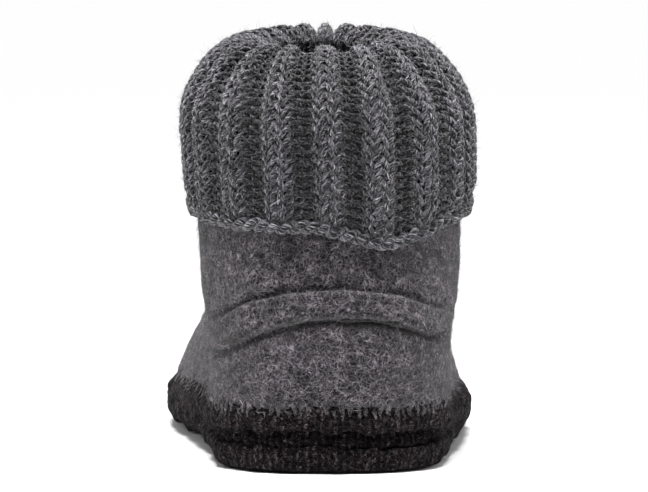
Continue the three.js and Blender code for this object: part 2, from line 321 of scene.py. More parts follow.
def finer(obj, chosen):
    """Divides the faces between the chosen points once more."""
    ends = np.empty(len(obj.data.edges) * 2, np.int32)
    obj.data.edges.foreach_get("vertices", ends)
    activate(obj)
    bpy.ops.object.mode_set(mode="EDIT")
    bpy.ops.mesh.select_mode(type="VERT")
    bpy.ops.mesh.select_all(action="DESELECT")
    bpy.ops.object.mode_set(mode="OBJECT")
    obj.data.vertices.foreach_set("select", chosen)
    obj.data.edges.foreach_set("select", chosen[ends.reshape(-1, 2)].all(axis=1))
    bpy.ops.object.mode_set(mode="EDIT")
    bpy.ops.mesh.subdivide(number_cuts=1)
    bpy.ops.object.mode_set(mode="OBJECT")


def rim_points(node, low, high, heel_y=AXIS_HEEL_Y, toe_y=AXIS_TOE_Y):
    """The outer rim of a node between two heights, in order round the foot from the back."""
    mesh = bmesh.new()
    mesh.from_mesh(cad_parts[node].data)
    bmesh.ops.remove_doubles(mesh, verts=mesh.verts, dist=0.002 * MM)
    found = []
    for vert in mesh.verts:
        height = vert.co.z / MM
        if not low < height < high:
            continue
        if not any(edge.calc_face_angle(0) > math.radians(32) for edge in vert.link_edges):
            continue
        facing = Vector((0, 0, 0))
        for face in vert.link_faces:
            if abs(face.normal.z) < 0.92:
                facing += face.normal
        place = np.array(vert.co) / MM
        out = from_axis(place[None], heel_y, toe_y)[0]
        if facing.x * out[0] + facing.y * out[1] > 0:
            found.append(place)
    mesh.free()
    ring = np.array(found)
    middle = ring.mean(axis=0)
    turn = np.arctan2(ring[:, 0] - middle[0], middle[1] - ring[:, 1]) % (2 * math.pi)
    ring = ring[np.argsort(turn)]
    start = np.argmin(np.abs(ring[:, 0] - AXIS_X) + 2 * (ring[:, 1] - ring[:, 1].min()))
    return np.roll(ring, -start, axis=0)


def smooth_ring(ring, count):
    """An evenly spaced ring of points as a finer smooth one."""
    waves = np.fft.rfft(ring, axis=0)
    return np.fft.irfft(waves, n=count, axis=0) * (count / len(ring))


def unit(vectors):
    return vectors / np.maximum(np.linalg.norm(vectors, axis=-1, keepdims=True), 1e-9)


def smoothed_rows(rows, count):
    """The rows of a table, joined by a smooth curve and read at an even count of places."""
    table = np.array(rows, float)
    padded = np.vstack([2 * table[0] - table[1], table, 2 * table[-1] - table[-2]])
    at = np.linspace(0, len(table) - 1, count)
    index = np.minimum(at.astype(int), len(table) - 2)
    t = (at - index)[:, None]
    a, b, c, d = padded[index], padded[index + 1], padded[index + 2], padded[index + 3]
    square, cube = 2 * a - 5 * b + 4 * c - d, 3 * b - a - 3 * c + d
    return 0.5 * (2 * b + (c - a) * t + square * t**2 + cube * t**3)


class CuffSurface:
    """The face on which the knit lies: turn runs round from the back, row from the hem to the inside."""

    AROUND = 400
    ALONG = 160

    def __init__(self):
        rim = rim_points("upper", COLLAR_FROM, 200, COLLAR_MIDDLE_Y, COLLAR_MIDDLE_Y)
        collar = smooth_ring(rim, self.AROUND)
        ahead = np.roll(collar, -1, axis=0) - np.roll(collar, 1, axis=0)
        out = unit(np.stack([ahead[:, 1], -ahead[:, 0], np.zeros(self.AROUND)], axis=1))
        share = (collar[:, 1] - collar[:, 1].min()) / np.ptp(collar[:, 1])
        ahead_share = share**4  # the instep's slope tells only near the front
        path = smoothed_rows(CUFF_PATH, 240)
        stand = np.outer(1 - ahead_share, path[:, 0]) + np.outer(ahead_share, path[:, 1])
        height = np.outer(1 - share, path[:, 2]) + np.outer(share, path[:, 3])
        turns = np.arange(self.AROUND) / self.AROUND
        dip = HEM_DIP * np.exp(-(((turns - HEM_DIP_AT) / HEM_DIP_SPAN) ** 2))
        fade = np.clip(1 - np.linspace(0, len(CUFF_PATH) - 1, 240) / 4, 0, 1)
        height = height - dip[:, None] * fade[None, :]
        points = collar[:, None, :] + out[:, None, :] * stand[..., None]
        points[..., 0] += path[None, :, 4]
        points[..., 2] = height
        self.points = np.stack([self.even(line) for line in points])
        self.length = np.linalg.norm(np.diff(self.points[0], axis=0), axis=1).sum()
        around = np.roll(self.points, -1, axis=0) - np.roll(self.points, 1, axis=0)
        along = np.gradient(self.points, axis=1)
        self.normals = unit(np.cross(around, along))
        self.width = np.linalg.norm(around, axis=-1) / 2 * self.AROUND / RIBS

    def even(self, line):
        covered = np.concatenate([[0], np.cumsum(np.linalg.norm(np.diff(line, axis=0), axis=1))])
        wanted = np.linspace(0, covered[-1], self.ALONG)
        return np.stack([np.interp(wanted, covered, line[:, axis]) for axis in range(3)], axis=1)

    def read(self, grid, turn, row):
        """The grid's values at places given in turns and as shares of the path."""
        u = (turn % 1.0) * self.AROUND
        v = np.clip(row, 0, 1) * (self.ALONG - 1)
        i, j = np.floor(u).astype(int), np.minimum(np.floor(v).astype(int), self.ALONG - 2)
        du, dv = u - i, v - j
        i, k = i % self.AROUND, (i + 1) % self.AROUND
        if grid.ndim == 3:
            du, dv = du[..., None], dv[..., None]
        low = grid[i, j] * (1 - du) + grid[k, j] * du
        high = grid[i, j + 1] * (1 - du) + grid[k, j + 1] * du
        return low * (1 - dv) + high * dv


def mesh_piece(name, verts, quads, uv=None, shade=None):
    """A piece made of many small closed forms given as arrays of points, in millimetres, and quads."""
    mesh = bpy.data.meshes.new(name)
    mesh.vertices.add(len(verts))
    mesh.vertices.foreach_set("co", (verts * MM).astype(np.float32).ravel())
    mesh.loops.add(quads.size)
    mesh.loops.foreach_set("vertex_index", quads.astype(np.int32).ravel())
    mesh.polygons.add(len(quads))
    mesh.polygons.foreach_set("loop_start", np.arange(0, quads.size, 4, dtype=np.int32))
    mesh.polygons.foreach_set("use_smooth", np.ones(len(quads), bool))
    if uv is not None:
        layer = mesh.uv_layers.new(name="along_yarn")
        layer.uv.foreach_set("vector", uv.astype(np.float32).ravel())
    if shade is not None:
        point_values(mesh, "shade", shade)
    mesh.update(calc_edges=True)
    mesh.validate()
    obj = bpy.data.objects.new(name, mesh)
    bpy.context.scene.collection.objects.link(obj)
    return obj


def yarn_rings(name, centres, ups, radii, sides, painted_shade=None):
    """Closed yarns: centres holds one row of points for each, and ups the directions off the fabric."""
    rows, count, _ = centres.shape
    ahead = unit(np.roll(centres, -1, axis=1) - np.roll(centres, 1, axis=1))
    aside = unit(np.cross(ahead, ups))
    up = np.cross(aside, ahead)
    angle = 2 * math.pi * np.arange(sides) / sides
    round_it = aside[:, :, None] * np.cos(angle)[None, None, :, None]
    round_it = round_it + up[:, :, None] * np.sin(angle)[None, None, :, None]
    verts = centres[:, :, None] + round_it * radii[:, :, None, None]
    ring = np.arange(rows * count * sides).reshape(rows, count, sides)
    after, beside = np.roll(ring, -1, axis=1), np.roll(ring, -1, axis=2)
    across = np.roll(after, -1, axis=2)
    quads = np.stack([ring, after, across, beside], axis=-1).reshape(-1, 4)
    step = np.linalg.norm(np.roll(centres, -1, axis=1) - centres, axis=-1)
    start = np.cumsum(step, axis=1) - step + 37.0 * np.arange(rows)[:, None]
    end = start + step
    low, high = np.arange(sides) / sides, (np.arange(sides) + 1) / sides
    shape = (rows, count, sides)
    first, last = (np.broadcast_to(v[:, :, None], shape) for v in (start, end))
    under, over = (np.broadcast_to(v[None, None, :], shape) for v in (low, high))
    uv = np.stack(
        [
            np.stack([first, under], -1),
            np.stack([last, under], -1),
            np.stack([last, over], -1),
            np.stack([first, over], -1),
        ],
        axis=3,
    )
    obj = mesh_piece(name, verts.reshape(-1, 3), quads, uv=uv.reshape(-1, 2))
    if painted_shade is not None:
        keep_painted_shade(obj, np.repeat(painted_shade.reshape(-1), sides))
    return obj


def ease(value):
    value = np.clip(value, 0, 1)
    return value * value * (3 - 2 * value)


def rib_stitches():
    """The stitches once round: their middles and widths in turns, and 1 for plain or -1 for purl."""
    plain, purl = PLAIN_SHARE / RIBS, PURL_SHARE / RIBS
    place = np.array([plain / 2, plain + purl / 2, plain + 1.5 * purl, plain * 1.5 + 2 * purl])
    centre = (np.arange(RIBS)[:, None] / RIBS + place[None, :]).reshape(-1)
    width = np.tile([plain, purl, purl, plain], RIBS)
    face = np.tile([1.0, -1.0, -1.0, 1.0], RIBS)
    return centre, width, face


def face_along(face, t):
    """Which face of the fabric a loop lies to, eased where a plain stitch meets a purl one."""
    after, before = np.roll(face, -1), np.roll(face, 1)
    leaving = ease((t - math.pi / 2) / (math.pi / 2)) * 0.5
    coming = ease((-t - math.pi / 2) / (math.pi / 2)) * 0.5
    return face[:, None] + (after - face)[:, None] * leaving + (before - face)[:, None] * coming


def knit_rows(name, surface, rows, courses, steps=LOOP_STEPS):
    """Rows of stitches, each a closed yarn that loops through the row under it."""
    centre, width, face = rib_stitches()
    t = -math.pi + 2 * math.pi * (np.arange(steps) + 0.5) / steps
    side = face_along(face, t)
    shape = (len(rows), len(face), steps)
    loose = chance.normal(0, 1, (len(rows), len(face), 4))
    turn = centre[:, None] + width[:, None] * (t / (2 * math.pi) + LOOP_WAIST * np.sin(2 * t))
    turn = turn[None] + loose[..., :1] * LOOSE_TURN
    reach = LOOP_REACH * np.cos(t)[None, None, :] * (1 + LOOSE_REACH * loose[..., 1:2])
    row = np.array(rows)[:, None, None] + 0.5 + reach + LOOSE_ROW * loose[..., 2:3]
    share = np.broadcast_to(row / courses, shape)
    points = surface.read(surface.points, turn, share)
    normals = surface.read(surface.normals, turn, share)
    rib = surface.read(surface.width, turn, share)
    lift = -LOOP_DEPTH * np.cos(2 * t)[None, :] * side
    lift = lift[None] * (1 + LOOSE_LIFT * loose[..., 3:4]) + knit_relief(turn, rib, row, share)
    lift = lift - KNIT_IN * (1 - 0.5 * near_crest(share))
    points = points + normals * lift[..., None]
    thick = np.clip(rib / RIB_WIDTH, 0.66, 1.0) * (1 + LOOSE_YARN * loose[..., 3:4])
    # Painted shade on the yarn: darker in the purl furrows between the ribs and on the parts of each loop
    # that lie behind, almost none at the crest
    painted_knit_shade = 0.5 - 0.5 * np.clip(1.6 * np.cos(2 * math.pi * RIBS * turn), -1, 1)
    painted_knit_shade = np.maximum(painted_knit_shade, 0.4 + 0.4 * np.cos(2 * t)[None, None, :] * side[None])
    count = len(face) * steps
    return yarn_rings(
        name,
        points.reshape(len(rows), count, 3),
        normals.reshape(len(rows), count, 3),
        np.broadcast_to(YARN_RADIUS * thick, shape).reshape(len(rows), count),
        YARN_SIDES,
        np.broadcast_to(painted_knit_shade * (1 - 0.95 * near_crest(share)), shape),
    )


def near_crest(share):
    return np.exp(-(((share - CREST_AT) / CREST_SPAN) ** 2))


def knit_relief(turn, rib, row, share):
    """How far the ribs stand out at a place, and the furrows in: more where the cuff is gathered."""
    gather = np.clip(RIB_WIDTH / rib, 1.0, 1.35) * (0.3 + 0.7 * ease(row / 3))
    gather = gather * (1 - 0.62 * near_crest(share))
    return RIB_RELIEF * gather * np.clip(1.4 * np.cos(2 * math.pi * RIBS * turn), -1, 1)


def cuff_shade_backing(surface, courses):
    """A thin closed sleeve behind the cuff's yarn, near black: painted shade that shows through the gaps
    of the knit.
    """
    around, along = RIBS * 10, 40
    places = np.linspace(SHADE_BACKING_START, SHADE_BACKING_END, along)
    turn, share = np.meshgrid(np.arange(around) / around, places, indexing="ij")
    points = surface.read(surface.points, turn, share)
    normals = surface.read(surface.normals, turn, share)
    rib = surface.read(surface.width, turn, share)
    depth = knit_relief(turn, rib, share * courses, share) - KNIT_IN - SHADE_BACKING_IN
    face = points + normals * depth[..., None]
    back = points + normals * (depth - SHADE_BACKING_THICK)[..., None]
    loop = np.concatenate([face, back[:, ::-1]], axis=1)
    index = np.arange(loop.shape[0] * loop.shape[1]).reshape(loop.shape[:2])
    beside, after = np.roll(index, -1, axis=0), np.roll(index, -1, axis=1)
    quads = np.stack([index, beside, np.roll(beside, -1, axis=1), after], axis=-1).reshape(-1, 4)
    return mesh_piece("cuff_shade_backing", loop.reshape(-1, 3), quads)


def hem_cord(surface, courses):
    """The cast-on edge: two strands twisted along the hem."""
    turns = RIBS * 2
    steps = 16 * turns
    turn = np.arange(steps) / steps
    edge = surface.read(surface.points, turn, np.full(steps, 0.25 / courses))
    normal = surface.read(surface.normals, turn, np.full(steps, 0.25 / courses))
    down = unit(edge - surface.read(surface.points, turn, np.full(steps, 1.5 / courses)))
    relief = 0.3 * RIB_RELIEF * np.cos(2 * math.pi * RIBS * turn)
    strands = []
    for strand in range(2):
        angle = 2 * math.pi * turns * turn + math.pi * strand
        proud = normal * (1.0 * np.sin(angle) + relief - 0.5)[:, None]
        strands.append(edge + (proud + down * (1.15 * np.cos(angle) - 0.2)[:, None]))
    centres = np.stack(strands)
    ups = np.broadcast_to(normal, centres.shape)
    radii = np.full(centres.shape[:2], EDGE_RADIUS)
    # An even painted shade of 0.3 darkens the whole cord
    return yarn_rings("cuff_edge", centres, ups, radii, 6, np.full(centres.shape[:2], 0.3))


def seam_places():
    """Places of the seam's stitches round the upper's lower edge, with the ways along it and out."""
    ring = smooth_ring(rim_points("upper", 0, SEAM_BELOW), 2400)
    step = np.linalg.norm(np.roll(ring, -1, axis=0) - ring, axis=1)
    covered = np.concatenate([[0], np.cumsum(step)])
    count = int(covered[-1] / STITCH_PITCH)
    wanted = (np.arange(count) + 0.5 + chance.uniform(-0.16, 0.16, count)) * covered[-1] / count
    closed = np.vstack([ring, ring[:1]])
    place = np.stack([np.interp(wanted, covered, closed[:, axis]) for axis in range(3)], axis=1)
    ahead = np.roll(place, -1, axis=0) - np.roll(place, 1, axis=0)
    out = unit(np.stack([ahead[:, 1], -ahead[:, 0], np.zeros(count)], axis=1))
    return place, unit(ahead), out


def stitch_ring(start, along, out, share, target):
    """One ring of a stitch, laid on the felt that is met straight in from its start."""
    hit, spot, _, _ = target.ray_cast(Vector(start * MM), Vector(-out), distance=24 * MM)
    spot = np.array(spot) / MM if hit else start - out * 12
    thick = STITCH_RADIUS * math.sqrt(max(0.02, 1 - (2 * share - 1) ** 4)) * (1 - 0.45 * share)
    angle = 2 * math.pi * np.arange(STITCH_SIDES)[:, None] / STITCH_SIDES
    sunk = thick * STITCH_FLATNESS * np.sin(angle) - 0.4 * share * share
    return spot + along * thick * np.cos(angle) + out * sunk


def seam_stitches(upper, sole):
    """Short strokes of the upper's wool that bind it to the sole, side by side along the seam."""
    place, along, out = seam_places()
    count = len(place)
    tall = STITCH_BELOW * chance.uniform(0.75, 1.2, count)
    slant = chance.normal(0.25, 0.3, count)
    shares = np.linspace(0, 1, STITCH_RINGS)
    verts = np.zeros((count, STITCH_RINGS, STITCH_SIDES, 3))
    for stitch in range(count):
        for k, share in enumerate(shares):
            height = STITCH_ABOVE - share * (STITCH_ABOVE + tall[stitch])
            start = place[stitch] + along[stitch] * (slant[stitch] * (share - 0.5) * 2) + out[stitch] * 12
            start[2] += height
            target = upper if height > 0 else sole
            verts[stitch, k] = stitch_ring(start, along[stitch], out[stitch], share, target)
    index = np.arange(verts.size // 3).reshape(verts.shape[:3])
    beside = np.roll(index, -1, axis=2)
    quads = np.stack([index[:, :-1], beside[:, :-1], beside[:, 1:], index[:, 1:]], axis=-1).reshape(-1, 4)
    first, last = index[:, 0], index[:, -1]
    ends = [last[:, [0, 1, 2, 3]], last[:, [3, 4, 5, 0]], first[:, [3, 2, 1, 0]], first[:, [0, 5, 4, 3]]]
    obj = mesh_piece("seam_stitches", verts.reshape(-1, 3), np.vstack([quads, *ends]))
    # Painted shade, darker towards each stitch's lower end, where it sinks into the sole
    keep_painted_shade(obj, np.broadcast_to(shares[None, :, None] ** 2.5, verts.shape[:3]).ravel())
    return obj


def places_on(obj, count, keep):
    """Places spread evenly over the faces of a piece for which keep is true: points and normals."""
    mesh = obj.data
    mesh.calc_loop_triangles()
    corners = np.empty(len(mesh.loop_triangles) * 3, np.int32)
    mesh.loop_triangles.foreach_get("vertices", corners)
    corners = corners.reshape(-1, 3)
    points = points_of(obj)
    a, b, c = (points[corners[:, k]] for k in range(3))
    cross = np.cross(b - a, c - a)
    area = np.linalg.norm(cross, axis=1)
    normal = unit(cross)
    area = area * keep((a + b + c) / 3, normal)
    # Fewer hairs where the painted shade lies deep, in creases and furrows
    if "painted_shade" in mesh.attributes:
        painted_shade = np.empty(len(points), np.float32)
        mesh.attributes["painted_shade"].data.foreach_get("value", painted_shade)
        area = area * (1 - 0.85 * np.clip(painted_shade[corners].mean(axis=1), 0, 1))
    pick = chance.choice(len(area), count, p=area / area.sum())
    r, s = np.sqrt(chance.random(count)), chance.random(count)
    spot = a[pick] * (1 - r)[:, None] + b[pick] * (r * (1 - s))[:, None] + c[pick] * (r * s)[:, None]
    return spot, normal[pick]


def hairs(name, spot, normal, length, lift, curl, width, steps=3):
    """Fine wool hairs as narrow strips that lie on a surface and rise from it at their ends."""
    count = len(spot)
    any_way = unit(np.cross(normal, unit(chance.normal(0, 1, (count, 3)))))
    aside = np.cross(normal, any_way)
    reach = length * chance.uniform(0.5, 1.3, count)
    rise = lift * chance.gamma(1.3, 0.8, count)
    bend = curl * chance.normal(0, 1, count)
    share = np.linspace(-0.5, 0.5, steps + 1)
    wave = chance.uniform(0, 2 * math.pi, count)
    sway = bend[:, None] * (share * 2) ** 2 + 0.25 * curl * np.sin(wave[:, None] + share * 7)
    up = 0.15 + rise[:, None] * (0.5 + share) ** 1.6
    line = spot[:, None] + any_way[:, None] * (reach[:, None] * share)[..., None]
    line = line + aside[:, None] * sway[..., None] + normal[:, None] * up[..., None]
    line[..., 2] = np.maximum(line[..., 2], 0.2)
    thick = width * chance.uniform(0.6, 1.3, count)[:, None] * (1 - 0.55 * np.abs(share * 2) ** 2)
    half = aside[:, None] * thick[..., None] / 2
    verts = np.stack([line - half, line + half], axis=2)
    index = np.arange(count * (steps + 1) * 2).reshape(count, steps + 1, 2)
    near, far = index[:, :-1], index[:, 1:]
    quads = np.stack([near[..., 0], far[..., 0], far[..., 1], near[..., 1]], axis=-1).reshape(-1, 4)
    shade = np.repeat(chance.beta(1.3, 2.2, count), (steps + 1) * 2)
    return mesh_piece(name, verts.reshape(-1, 3), quads, shade=shade)


def linear(red, green, blue):
    """A colour given in the 0 to 255 of a screen, as the linear values that a shader takes."""
    return tuple((v / 255) ** 2.2 for v in (red, green, blue)) + (1.0,)


class Shader:
    """A material with its node tree and short ways to add and join nodes."""

    def __init__(self, name):
        self.material = bpy.data.materials.new(name)
        self.material.use_nodes = True
        self.tree = self.material.node_tree
        self.surface = self.tree.nodes["Principled BSDF"]

    def node(self, kind, **values):
        made = self.tree.nodes.new("ShaderNode" + kind)
        for name, value in values.items():
            if name in made.inputs:
                made.inputs[name].default_value = value
            else:
                setattr(made, name, value)
        return made

    def join(self, start, end):
        self.tree.links.new(start, end)

    def math(self, operation, first, second):
        made = self.node("Math", operation=operation)
        for socket, value in zip(made.inputs, (first, second)):
            if isinstance(value, (int, float)):
                socket.default_value = value
            else:
                self.join(value, socket)
        return made.outputs[0]

    def ramp(self, factor, stops):
        made = self.node("ValToRGB")
        while len(made.color_ramp.elements) < len(stops):
            made.color_ramp.elements.new(0.5)
        for element, (position, colour) in zip(made.color_ramp.elements, stops):
            element.position = position
            element.color = colour if isinstance(colour, tuple) else (colour, colour, colour, 1)
        self.join(factor, made.inputs["Fac"])
        return made.outputs["Color"]

    def mix(self, factor, first, second, blend="MIX"):
        made = self.node("Mix", data_type="RGBA", blend_type=blend)
        for place, value in ((0, factor), (6, first), (7, second)):
            socket = made.inputs[place]
            if isinstance(value, (int, float, tuple)):
                socket.default_value = value
            else:
                self.join(value, socket)
        return made.outputs[2]

    def millimetres(self):
        place = self.node("TexCoord")
        scale = self.node("Mapping", Scale=(1000, 1000, 1000))
        self.join(place.outputs["Object"], scale.inputs["Vector"])
        return scale.outputs["Vector"]

    def noise(self, vector, scale, detail=2.0, roughness=0.5, distortion=0.0):
        made = self.node("TexNoise", Scale=scale, Detail=detail, Roughness=roughness)
        made.inputs["Distortion"].default_value = distortion
        self.join(vector, made.inputs["Vector"])
        return made.outputs["Fac"]

    def bump(self, height, strength, depth):
        made = self.node("Bump", Strength=strength, Distance=depth * MM)
        self.join(height, made.inputs["Height"])
        self.join(made.outputs["Normal"], self.surface.inputs["Normal"])

    def darken_with_painted_shade(self, colour, dark):
        """Joins a colour to the surface, with painted shade: mixed toward the dark colour by the shade
        kept on each point.
        """
        painted_shade = self.node("Attribute", attribute_name="painted_shade").outputs["Fac"]
        deep = self.math("MULTIPLY", painted_shade, 0.8)
        self.join(self.mix(deep, colour, dark), self.surface.inputs["Base Color"])

    def wool(self, sheen, sheen_roughness=0.45):
        self.surface.inputs["Roughness"].default_value = 0.95
        self.surface.inputs["Specular IOR Level"].default_value = 0.02
        self.surface.inputs["Sheen Weight"].default_value = sheen
        self.surface.inputs["Sheen Roughness"].default_value = sheen_roughness


def felt_patches(shader, place):
    """Paler and darker patches where the fibres were mixed unevenly."""
    return shader.ramp(shader.noise(place, 0.2, 4.0, 0.68), [(0.36, 0.3), (0.66, 1.55)])


def crossing_strands(shader, place):
    """Thin pale fibres that cross one another in bent lines."""
    warp = shader.node("TexNoise", Scale=0.35, Detail=2.0)
    shader.join(place, warp.inputs["Vector"])
    bent = shader.node("VectorMath", operation="MULTIPLY_ADD")
    bent.inputs[1].default_value = (3.2, 3.2, 3.2)
    shader.join(warp.outputs["Color"], bent.inputs[0])
    shader.join(place, bent.inputs[2])
    lines = []
    for scale, thin in ((0.32, 0.045), (0.61, 0.07)):
        cells = shader.node("TexVoronoi", feature="DISTANCE_TO_EDGE", Scale=scale, Randomness=1.0)
        shader.join(bent.outputs[0], cells.inputs["Vector"])
        lines.append(shader.ramp(cells.outputs["Distance"], [(0.0, 1.0), (thin, 0.0)]))
    return shader.mix(0.5, lines[0], lines[1], "ADD")


def column_wave(shader, clumps):
    """The columns of stitches that still show, bent a little by the clumps, from -1 to 1."""
    column = shader.node("Attribute", attribute_name="column").outputs["Fac"]
    bent = shader.math("ADD", column, shader.math("MULTIPLY", clumps, 2.2))
    return shader.math("SINE", shader.math("MULTIPLY", bent, 2 * math.pi / COLUMN_WIDTH), 0.0)


def felt_finish(name, dark, middle, light, fleck, sheen, columns=0.0):
    """Felted wool: mixed fibres in clumps and crossing lines, with a short nap, painted shade in small
    pits and in the creases, and painted light and shade on the columns where asked.
    """
    shader = Shader(name)
    place = shader.millimetres()
    clumps = shader.noise(place, 0.75, 5.0, 0.72, 0.6)
    strands = crossing_strands(shader, place)
    colour = shader.ramp(clumps, [(0.4, dark), (0.52, middle), (0.63, light)])
    streaked = shader.mix(shader.math("MULTIPLY", strands, fleck), colour, light)
    patched = shader.mix(1.0, streaked, felt_patches(shader, place), "MULTIPLY")
    # Painted shade: dark spots as in the felt's small pits
    painted_pit_shade = shader.ramp(shader.noise(place, 1.5, 2.0, 0.6), [(0.37, 0.1), (0.53, 1.0)])
    pit_shaded = shader.mix(1.0, patched, painted_pit_shade, "MULTIPLY")
    height = shader.math("ADD", clumps, shader.math("MULTIPLY", strands, 0.35))
    if columns:
        wave = column_wave(shader, clumps)
        height = shader.math("ADD", height, shader.math("MULTIPLY", wave, columns * 0.3))
        # Painted light and shade along the columns: lighter on them and darker in the furrows between, in
        # step with the bump
        evened = shader.math("ADD", shader.math("MULTIPLY", wave, 0.5), 0.5)
        column_light_and_shade = shader.ramp(evened, [(0.1, 1 - columns), (0.9, 1 + columns)])
        pit_shaded = shader.mix(1.0, pit_shaded, column_light_and_shade, "MULTIPLY")
    shader.darken_with_painted_shade(pit_shaded, dark)
    shader.bump(height, 1.0, 1.4)
    shader.wool(sheen)
    return shader.material


def spun_fibres(shader, along, round_it):
    """Fibres that run round a strand in a slant."""
    circle = shader.math("MULTIPLY", round_it, 2 * math.pi)
    spun = shader.node("CombineXYZ")
    shader.join(shader.math("MULTIPLY", along, 0.16), spun.inputs[0])
    for socket, operation in ((1, "SINE"), (2, "COSINE")):
        turned = shader.math("ADD", circle, shader.math("MULTIPLY", along, 1.3))
        wound = shader.math("MULTIPLY", shader.math(operation, turned, 0.0), 0.7)
        shader.join(wound, spun.inputs[socket])
    return shader.noise(spun.outputs[0], 2.8, 4.0, 0.75)


def yarn_finish(name, dark, middle, light):
    """Soft spun yarn: two plies wound together, of fibres mixed dark and pale."""
    shader = Shader(name)
    uv = shader.node("UVMap", uv_map="along_yarn")
    parts = shader.node("SeparateXYZ")
    shader.join(uv.outputs["UV"], parts.inputs[0])
    along, round_it = parts.outputs[0], parts.outputs[1]
    slant = shader.math("ADD", shader.math("MULTIPLY", along, 0.32), round_it)
    plies = shader.math("SINE", shader.math("MULTIPLY", slant, 4 * math.pi), 0.0)
    fibres = spun_fibres(shader, along, round_it)
    mottle = shader.noise(shader.millimetres(), 0.16, 3.0, 0.6)
    patches = shader.ramp(mottle, [(0.3, 0.75), (0.7, 1.25)])
    colour = shader.ramp(fibres, [(0.38, dark), (0.52, middle), (0.66, light)])
    shader.darken_with_painted_shade(shader.mix(1.0, colour, patches, "MULTIPLY"), dark)
    shader.bump(shader.math("ADD", shader.math("MULTIPLY", plies, 0.25), fibres), 0.8, 0.7)
    shader.wool(0.3)
    return shader.material


def hair_finish(name, dark, light):
    """Single wool hairs, each of its own shade, paler and darker with the felt's patches."""
    shader = Shader(name)
    shade = shader.node("Attribute", attribute_name="shade")
    colour = shader.ramp(shade.outputs["Fac"], [(0.1, dark), (0.9, light)])
    patched = shader.mix(0.85, colour, felt_patches(shader, shader.millimetres()), "MULTIPLY")
    shader.join(patched, shader.surface.inputs["Base Color"])
    shader.wool(0.2)
    return shader.material


def dress(obj, node, finish):
    """Puts a finished piece in the place of its CAD node."""
    obj.data.materials.clear()
    obj.data.materials.append(finish)
    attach(obj, "root")
    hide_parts(node)


DARK_GREY = linear(12, 11, 12)
MID_GREY = linear(42, 39, 43)
PALE_GREY = linear(128, 122, 128)
CHARCOAL_DARK = linear(5, 4, 5)
CHARCOAL = linear(27, 24, 25)
CHARCOAL_PALE = linear(84, 77, 79)
YARN_DARK = linear(4, 4, 5)
YARN_GREY = linear(40, 39, 43)
YARN_PALE = linear(190, 188, 195)


def upper_wool():
    return felt_finish("upper_wool", DARK_GREY, MID_GREY, PALE_GREY, fleck=0.5, sheen=0.22)


def sole_wool():
    colours = (CHARCOAL_DARK, CHARCOAL, CHARCOAL_PALE)
    return felt_finish("sole_wool", *colours, fleck=0.35, sheen=0.02, columns=0.6)


def cuff_yarn():
    return yarn_finish("cuff_yarn", YARN_DARK, YARN_GREY, YARN_PALE)


def seam_yarn():
    return felt_finish("seam_yarn", DARK_GREY, MID_GREY, PALE_GREY, fleck=0.5, sheen=0.3)


# Near-black wool of the backing: painted shade behind the knit
def shade_backing_wool():
    colours = (YARN_DARK, linear(10, 10, 11), linear(24, 23, 25))
    return felt_finish("shade_backing_wool", *colours, fleck=0.2, sheen=0.0)


def grey_hair():
    return hair_finish("grey_hair", DARK_GREY, linear(176, 169, 176))


def dark_hair():
    return hair_finish("dark_hair", linear(3, 3, 3), linear(92, 85, 85))


def upper_piece():
    """The upper with its roll above the heel: two creases, their lips and the swell between."""
    upper = copy_of_node("upper", "upper_felt", 2, 0.55)
    spots = points_of(upper)
    behind = (spots[:, 1] < ROLL_FINE["y"]) & (from_axis(spots)[:, 1] < ROLL_FINE["out"])
    finer(upper, behind & (spots[:, 2] > ROLL_FINE["low"]) & (spots[:, 2] < ROLL_FINE["high"]))
    spots = points_of(upper)
    lip = np.array([0, 0, LIP_APART])
    pairs = {name: zip(ROLL_LOWER[name][1:], ROLL_UPPER[name]) for name in ROLL_UPPER}
    middle = {name: [(a + b) / 2 for a, b in pair] for name, pair in pairs.items()}
    for name, places, line, width, distance in (
        ("lower_crease", spots, ROLL_LOWER, CREASE_WIDTH, -LOWER_DEPTH),
        ("upper_crease", spots, ROLL_UPPER, CREASE_WIDTH, -UPPER_DEPTH),
        ("lower_lip", spots - lip, ROLL_LOWER, CREASE_WIDTH, LIP_HEIGHT),
        ("roll_swell", spots, middle, SWELL_WIDTH, ROLL_SWELL),
        ("upper_lip", spots + lip, ROLL_UPPER, CREASE_WIDTH, LIP_HEIGHT),
    ):
        push(upper, name, line_weights(places, line, width, ROLL_BACK_Y, ROLL_FADE), distance)
    # Painted shade in the roll's two creases, kept for the finish
    keep_painted_shade(upper, upper_hollows(spots))
    lumps(upper, "felt_unevenness", *UPPER_LUMPS)
    lumps(upper, "felt_dimples", *UPPER_DIMPLES)
    return upper


def sole_piece():
    """The cup sole with the crease round its heel and the unevenness of its side."""
    sole = copy_of_node("sole", "sole_felt", 2, 0.5)
    spots = points_of(sole)
    behind = (spots[:, 1] < SOLE_FINE["y"]) & (from_axis(spots)[:, 1] < SOLE_FINE["out"])
    finer(sole, behind & (spots[:, 2] > SOLE_FINE["low"]))
    crease = line_weights(points_of(sole), SOLE_CREASE, CREASE_WIDTH, SOLE_BACK_Y, SOLE_FADE)
    push(sole, "heel_crease", crease, -SOLE_CREASE_DEPTH)
    # Painted shade in the sole's heel crease, kept for the finish
    keep_painted_shade(sole, crease)
    column_places(sole)
    weigh(sole, "sides", ease((points_of(sole)[:, 2] - 0.2) / 1.6))
    lumps(sole, "sole_unevenness", *SOLE_LUMPS, SOLE_LEVEL, "sides")
    lumps(sole, "sole_dimples", *SOLE_DIMPLES, SOLE_LEVEL, "sides")
    return sole


def insole_piece():
    """The loose sheet of felt on the sole's floor."""
    return copy_of_node("insole", "insole_felt", 1, 0.6)


